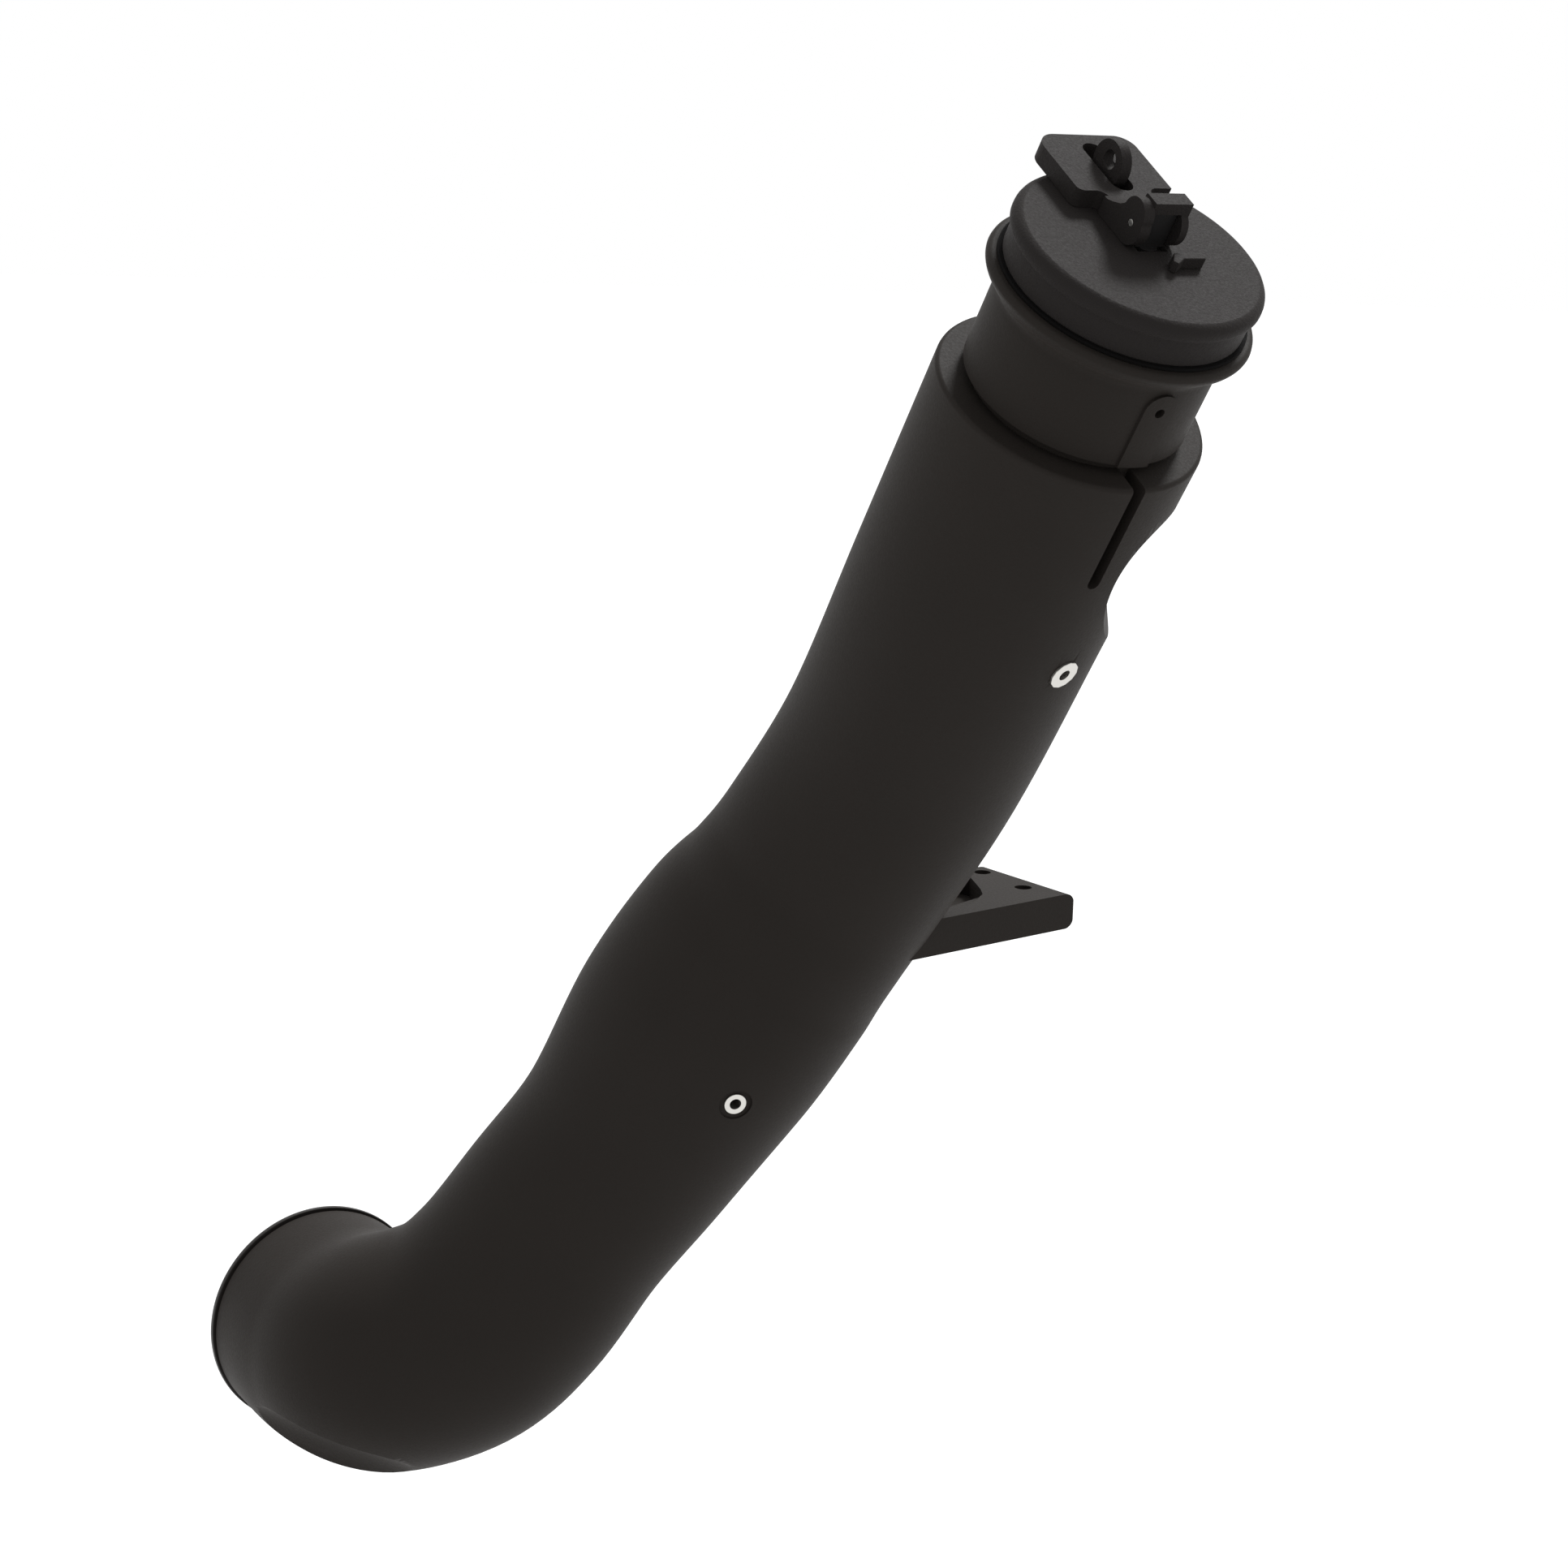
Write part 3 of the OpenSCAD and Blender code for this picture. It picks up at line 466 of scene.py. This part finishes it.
# ---- pieces ----
class INTAKE_OT_tube(bpy.types.Operator):
    """Builds the tube: one swept shell with collar bore, slit, scoop, recess and insert seats"""

    bl_idname = "intake.tube"
    bl_label = "Tube"

    def execute(self, context):
        sizes = context.scene.intake_sizes
        slit_half, slit_deep = sizes.slit_width / MM / 2, sizes.slit_length / MM
        scoop_r, recess_r = sizes.scoop_radius / MM, sizes.recess_radius / MM
        # outer shape, with a quarter round at the rim
        places = tube_places(0, sizes.along)
        (rim, radius), r = places[0], sizes.rim_round
        lip = []
        for angle in (0, 0.39, 0.79, 1.18, 1.57):
            sunk = Matrix.Translation((0, 0, r * (1 - math.cos(angle))))
            lip.append((rim @ sunk, radius - r * (1 - math.sin(angle))))
        shell = swept(lip + places[1:], sizes.around)
        # duct, kept clear of the recess and of the lower insert's seat
        scallop, lower = aimed(RECESS_AT, RECESS_ALONG), aimed(LOWER_ON, LOWER_WAY)
        duct = combined(
            swept(tube_places(sizes.wall, max(4, sizes.along // 2), below=0.142), 96),
            [drum(recess_r + sizes.wall / MM, -60, 60, scallop), drum(12, 47, 80, lower, 48)],
        )
        tail = swept([(OUTLET_FACE @ at(0, 0, y), 0.053) for y in (-20, 2)], 128)
        # bore for the neck sleeve, tapering out into the duct
        bore = turned(
            [(0, 4), (45.05, 4), (45.05, -125), (41.5, -125), (41.5, -131), (53, -147), (0, -152)], NECK, 128,
        )
        slit = block((-slit_half, -64, -slit_deep), (slit_half, -38, 5), NECK)
        bevelled(slit, edges_along(slit, 1, NECK, lambda p: p.z < -50), sizes.slit_width * 0.498, 8)
        # scoop: a groove across the collar whose lower side shows
        scoop_turn = NECK @ Matrix.Rotation(math.radians(-40), 4, "Z")
        scoop = scoop_turn @ at(47.2 + scoop_r, 0, -64) @ Matrix.Rotation(math.radians(72), 4, "X")
        shell = combined(shell, [
            duct, tail, bore, slit, drum(scoop_r, -70, 70, scoop, 240), drum(recess_r, -60, 60, scallop, 192),
            drum(7.3, 58.6, 70, UPPER, 48), drum(4.62, 44, 60, UPPER, 32),
            drum(8, 61.5, 75, lower, 48), drum(4.62, 48, 63, lower, 32),
        ])
        # short edges along the cuts are merged, so that they shade evenly
        edge = {v for e in sharp_edges(shell, 36) for v in e.verts}
        bmesh.ops.remove_doubles(shell, verts=list(edge), dist=0.00045)
        piece("tube_shell", shell, "tube", "moulding", "tube_body")
        return {"FINISHED"}


class INTAKE_OT_bracket(bpy.types.Operator):
    """Builds the side bracket: a splayed plate with rounded end, two holes and a stepped pocket"""

    bl_idname = "intake.bracket"
    bl_label = "Bracket"

    def execute(self, context):
        low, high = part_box("side_bracket")
        thick, reach = -low.z / MM, high.x / MM
        near, far, back = -37.5, 27.5, reach - 117
        splay, slant = math.tan(math.radians(8.6)), math.radians(4)
        plan = prism([
            (back, near - 117 * splay), (reach, near),
            (reach - (far - near) * math.tan(slant), far), (back, far),
        ], -thick - 1, 1)
        for side, width in ((-1, 0.001), (1, 0.005)):
            corner = edges_along(plan, 2, Matrix(), lambda p: p.x > 10 and p.y * side > 0)
            bevelled(plan, corner, width, 8)
        swing = at(reach, near, 0) @ Matrix.Rotation(slant, 4, "Z")
        bar = block((-150, -40, -thick), (0, 110, 0), swing)
        bevelled(bar, edges_along(bar, 1, swing, lambda p: p.x > -1), 0.006, 10)
        plate = combined(bar, [plan], "INTERSECT")
        pocket = [(-21, -11), (-11, 12.6), (-13, 20), (-95, 20), (-95, -36), (-44, -20)]
        step = [(-21, -11), (-12.5, 9), (-95, 9), (-95, -43), (-54, -40), (-42, -33.5), (-26, -20)]
        tools = [drum(4.3, -thick - 2, 2, at(0, y, 0), 48) for y in (-17.5, 17.5)]
        plate = combined(plate, tools + [prism(pocket, -10, 2), prism(step, -4, 2)])
        bevelled(plate, sharp_edges(plate, 36), 0.0006, 2, slide=True)
        # the plate runs 1.5 mm into the tube's wall, so that no gap shows along the joint
        plate = combined(plate, [swept(tube_places(0.0015, context.scene.intake_sizes.along), 96)])
        piece("bracket_plate", plate, "tube", "moulding", "side_bracket")
        return {"FINISHED"}


class INTAKE_OT_neck(bpy.types.Operator):
    """Builds the neck sleeve: turned body with bell, raised key and drain hole"""

    bl_idname = "intake.neck"
    bl_label = "Neck"

    def execute(self, context):
        bell = half_width("neck_sleeve")
        flare = spline([Vector(p) for p in (
            (49.4, 38), (49.4, 42), (50.2, 44), (52, 46.1), (54.4, 48.1), (56.3, 50), (bell - 0.3, 51.8),
            (bell, 53),
        )], 4)
        lip = [(bell - 0.25, 54.1), (bell - 0.8, 54.9), (bell - 1.6, 55.35), (bell - 2.4, 55.5)]
        profile = [(41.5, -125), (45, -125), (45, 4.5), (48.8, 4.5), (49.25, 4.65), (49.4, 5.1)]
        profile += [tuple(p) for p in flare] + lip
        profile += [(52, 55.5), (51.5, 55), (51.5, 49), (49.5, 46.5), (45.9, 44), (45.9, 34.5), (41.5, 29.5)]
        body = turned(profile, NECK, 192, loop=True)
        # key: a raised strip with a round top, curved with the sleeve
        upright = Matrix.Rotation(math.radians(90), 4, "X")
        key_turn = NECK @ Matrix.Rotation(math.radians(-1), 4, "Z") @ upright
        key = block((-7.5, 4.7, 48.4), (7.5, 41, 52), key_turn)
        bevelled(key, edges_along(key, 2, key_turn, lambda p: p.y > 40), 0.00748, 14)
        hoop = turned([(48.4, 4.7), (50.7, 4.7), (50.7, 42), (48.4, 42)], NECK, 192, loop=True)
        key = combined(key, [hoop], "INTERSECT")
        back = NECK.inverted()
        outer = [e for e in sharp_edges(key, 36) if all((back @ v.co).xy.length > 0.0505 for v in e.verts)]
        bevelled(key, outer, 0.0005, 3, slide=True)
        body = combined(body, [key], "UNION")
        body = combined(body, [drum(2.2, 30, 60, key_turn @ at(0, 32.4, 0), 32)])
        piece("neck_turned", body, "tube", "moulding", "neck_sleeve")
        return {"FINISHED"}


class INTAKE_OT_cap(bpy.types.Operator):
    """Builds the cap: a turned cup with rounded disc, well for the post and slot for the staple"""

    bl_idname = "intake.cap"
    bl_label = "Cap"

    def execute(self, context):
        r = half_width("cap_body")
        cup = turned([
            (0, 0), (20, 0), (40, 0), (r - 4.1, 0), (r - 3.5, -0.12), (r - 2.4, -0.55), (r - 1.3, -1.35),
            (r - 0.5, -2.4), (r - 0.1, -3.5), (r, -4.6), (r, -5.6), (r - 0.25, -6.4), (r - 0.9, -7.1),
            (52.6, -7.7), (52.2, -8.4), (52.2, -19), (51.8, -19.7), (50.2, -19.7), (50.2, -26.3),
            (49.8, -26.7), (46.9, -26.7), (46.5, -26.3), (46.5, -5.7), (20, -5.7), (0, -5.7),
        ], CAP, 192)
        cup = combined(cup, [
            drum(5.06, -10, 2, CAP @ at(3, 2.2, 0), 48),
            block((-4.5, -3.6, -2.3), (10.5, 8.4, 2), CAP),
            block((1.78, 34.48, -10), (6.82, 44.52, 2), CAP),
            drum(2.02, -7, -1.2, CAP @ at(-2.9, 36, 0), 24), drum(2.02, -7, -1.2, CAP @ at(11.5, 36, 0), 24),
        ])
        piece("cap_cup", cup, "cap", "cap_plastic", "cap_body")
        return {"FINISHED"}


class INTAKE_OT_outlet(bpy.types.Operator):
    """Builds the outlet ring and its seal"""

    bl_idname = "intake.outlet"
    bl_label = "Outlet"

    def execute(self, context):
        r = half_width("outlet_ring")
        ring = turned([
            (50, -18.8), (50.4, -19.2), (52.6, -19.2), (52.95, -18.8), (52.95, -3.6), (r - 0.7, -3.6),
            (r - 0.2, -3.4), (r, -2.9), (r, -1.2), (r - 0.12, -0.65), (r - 0.45, -0.2), (r - 1, 0),
            (51, 0), (50.45, -0.2), (50.12, -0.65), (50, -1.2),
        ], OUTLET_FACE, 192, loop=True)
        piece("outlet_trim_ring", ring, "tube", "outlet_trim", "outlet_ring")
        r = half_width("outlet_seal")
        seal = turned([
            (53, -5.18), (r - 0.4, -5.18), (r, -4.8), (r, -4), (r - 0.4, -3.62), (53, -3.62),
        ], OUTLET_FACE, 192, loop=True)
        piece("outlet_packing", seal, "tube", "seal_rubber", "outlet_seal")
        return {"FINISHED"}


class INTAKE_OT_lever(bpy.types.Operator):
    """Rounds the lever, the staple and the stop lug"""

    bl_idname = "intake.lever"
    bl_label = "Lever and staple"

    def execute(self, context):
        width = context.scene.intake_sizes.edge_round
        softened("cam_lever", "lever", "cap_plastic", width, 3)
        softened("staple", "cap", "cap_plastic", width * 1.2, 3)
        softened("stop_lug", "cap", "cap_plastic", width, 3)
        return {"FINISHED"}


class INTAKE_OT_fittings(bpy.types.Operator):
    """Rounds the inserts, screws, bolt parts and hub, and builds the gasket and the expansion ring"""

    bl_idname = "intake.fittings"
    bl_label = "Fittings"

    def execute(self, context):
        width = context.scene.intake_sizes.edge_round
        for node, body, slot in (
            ("upper_insert", "tube", "bare_insert"), ("lower_insert", "tube", "bare_insert"),
            ("staple_screw_l", "cap", "zinc_steel"), ("staple_screw_r", "cap", "zinc_steel"),
            ("eye_bolt", "bolt", "dark_steel"), ("pressure_plate", "bolt", "dark_steel"),
            ("hinge_pin", "bolt", "zinc_steel"), ("plate_washer", "bolt", "zinc_steel"),
            ("lock_nut", "bolt", "zinc_steel"), ("cap_hub", "cap", "cap_plastic"),
        ):
            softened(node, body, slot, width * 0.6, 2)
        r = half_width("cap_gasket")
        gasket = turned([
            (50.5, 55.55), (r - 0.5, 55.55), (r, 55.9), (r, 56.6), (r - 0.5, 56.95), (50.5, 56.95),
        ], NECK, 192, loop=True)
        piece("gasket_band", gasket, "cap", "seal_rubber", "cap_gasket")
        r = half_width("expansion_ring")
        bulge = turned([
            (22, 8.4), (22.4, 8.05), (r - 0.8, 8.05), (r - 0.25, 8.3), (r, 8.9), (r, 25.1), (r - 0.25, 25.7),
            (r - 0.8, 25.95), (22.4, 25.95), (22, 25.6),
        ], NECK, 160, loop=True)
        piece("rubber_ring", bulge, "cap", "seal_rubber", "expansion_ring")
        return {"FINISHED"}


class INTAKE_OT_stage(bpy.types.Operator):
    """Sets up the floor, the studio light, the white surround and the camera"""

    bl_idname = "intake.stage"
    bl_label = "Stage"

    def execute(self, context):
        scene = context.scene
        scene.view_settings.view_transform = "Standard"
        # pale floor well below the hung part, so that its shadow falls clear of it
        bm = bmesh.new()
        ground = Matrix.Translation((0, 0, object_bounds()[0].z - 1.0))
        bmesh.ops.create_circle(bm, cap_ends=True, segments=96, radius=40, matrix=ground)
        mesh = bpy.data.meshes.new("floor")
        bm.to_mesh(mesh)
        bm.free()
        floor = bpy.data.objects.new("floor", mesh)
        scene.collection.objects.link(floor)
        floor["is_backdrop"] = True
        paint = bpy.data.materials.new("matt_floor_paint")
        paint.use_nodes = True
        tree = paint.node_tree
        tree.nodes.clear()
        body = add(tree, "ShaderNodeBsdfDiffuse", {"Color": tuple(scene.intake_colours.floor)})
        part = add(tree, "ShaderNodeMapRange", {"To Max": 0.75}, Value=self.seen(tree))
        glow = add(tree, "ShaderNodeEmission", {"Color": (1, 1, 1, 1)}, Strength=part.outputs["Result"])
        both = add(tree, "ShaderNodeAddShader")
        tree.links.new(body.outputs["BSDF"], both.inputs[0])
        tree.links.new(glow.outputs["Emission"], both.inputs[1])
        add(tree, "ShaderNodeOutputMaterial", Surface=both.outputs["Shader"])
        mesh.materials.append(paint)
        # soft surround: plain light on the object, full white where it is seen or mirrored
        world = bpy.data.worlds.new("studio")
        scene.world = world
        world.use_nodes = True
        tree = world.node_tree
        tree.nodes.clear()
        strength = add(tree, "ShaderNodeMapRange", {"To Min": 0.45, "To Max": 1.0}, Value=self.seen(tree))
        white = {"Color": (1, 1, 1, 1)}
        around = add(tree, "ShaderNodeBackground", white, Strength=strength.outputs["Result"])
        add(tree, "ShaderNodeOutputWorld", Surface=around.outputs["Background"])
        key = bpy.data.lights.new("key", "SUN")
        key.energy = 2.0
        key.angle = math.radians(14)
        lamp = bpy.data.objects.new("key", key)
        scene.collection.objects.link(lamp)
        lamp.matrix_world = KEY_FROM.to_track_quat("Z", "Y").to_matrix().to_4x4()
        lens = bpy.data.cameras.new("camera")
        lens.lens, lens.sensor_width = CAMERA_LENS, 36
        lens.clip_start, lens.clip_end = 0.05, 200
        camera = bpy.data.objects.new("camera", lens)
        scene.collection.objects.link(camera)
        back = -CAMERA_WAY.normalized()
        right = CAMERA_UP.cross(back).normalized()
        camera.matrix_world = basis(CAMERA_AT, right, back.cross(right), back)
        scene.camera = camera
        return {"FINISHED"}

    @staticmethod
    def seen(tree):
        """1 where a ray comes from the camera, a mirror or glass."""
        path = add(tree, "ShaderNodeLightPath")
        first = add(tree, "ShaderNodeMath", {"operation": "MAXIMUM"})
        tree.links.new(path.outputs["Is Camera Ray"], first.inputs[0])
        tree.links.new(path.outputs["Is Glossy Ray"], first.inputs[1])
        second = add(tree, "ShaderNodeMath", {"operation": "MAXIMUM"})
        tree.links.new(first.outputs[0], second.inputs[0])
        tree.links.new(path.outputs["Is Transmission Ray"], second.inputs[1])
        return second.outputs[0]


OPERATORS = (
    INTAKE_OT_tube, INTAKE_OT_bracket, INTAKE_OT_neck, INTAKE_OT_cap,
    INTAKE_OT_outlet, INTAKE_OT_lever, INTAKE_OT_fittings, INTAKE_OT_stage,
)


class INTAKE_PT_panel(bpy.types.Panel):
    """Lists the sizes, the colours and the pieces"""

    bl_label = "Raised Air Intake"
    bl_idname = "INTAKE_PT_panel"
    bl_space_type = "VIEW_3D"
    bl_region_type = "UI"
    bl_category = "Air Intake"

    def draw(self, context):
        for group in (context.scene.intake_sizes, context.scene.intake_colours):
            for name in group.bl_rna.properties.keys():
                if name not in ("rna_type", "name"):
                    self.layout.prop(group, name)
        for operator in OPERATORS:
            self.layout.operator(operator.bl_idname)


CLASSES = (IntakeSizes, IntakeColours) + OPERATORS + (INTAKE_PT_panel,)


def register():
    for cls in CLASSES:
        bpy.utils.register_class(cls)
    bpy.types.Scene.intake_sizes = PointerProperty(type=IntakeSizes)
    bpy.types.Scene.intake_colours = PointerProperty(type=IntakeColours)


def unregister():
    del bpy.types.Scene.intake_colours
    del bpy.types.Scene.intake_sizes
    for cls in reversed(CLASSES):
        bpy.utils.unregister_class(cls)


def main():
    register()
    for operator in OPERATORS:
        group, name = operator.bl_idname.split(".")
        getattr(getattr(bpy.ops, group), name)()


if __name__ == "__main__":
    main()
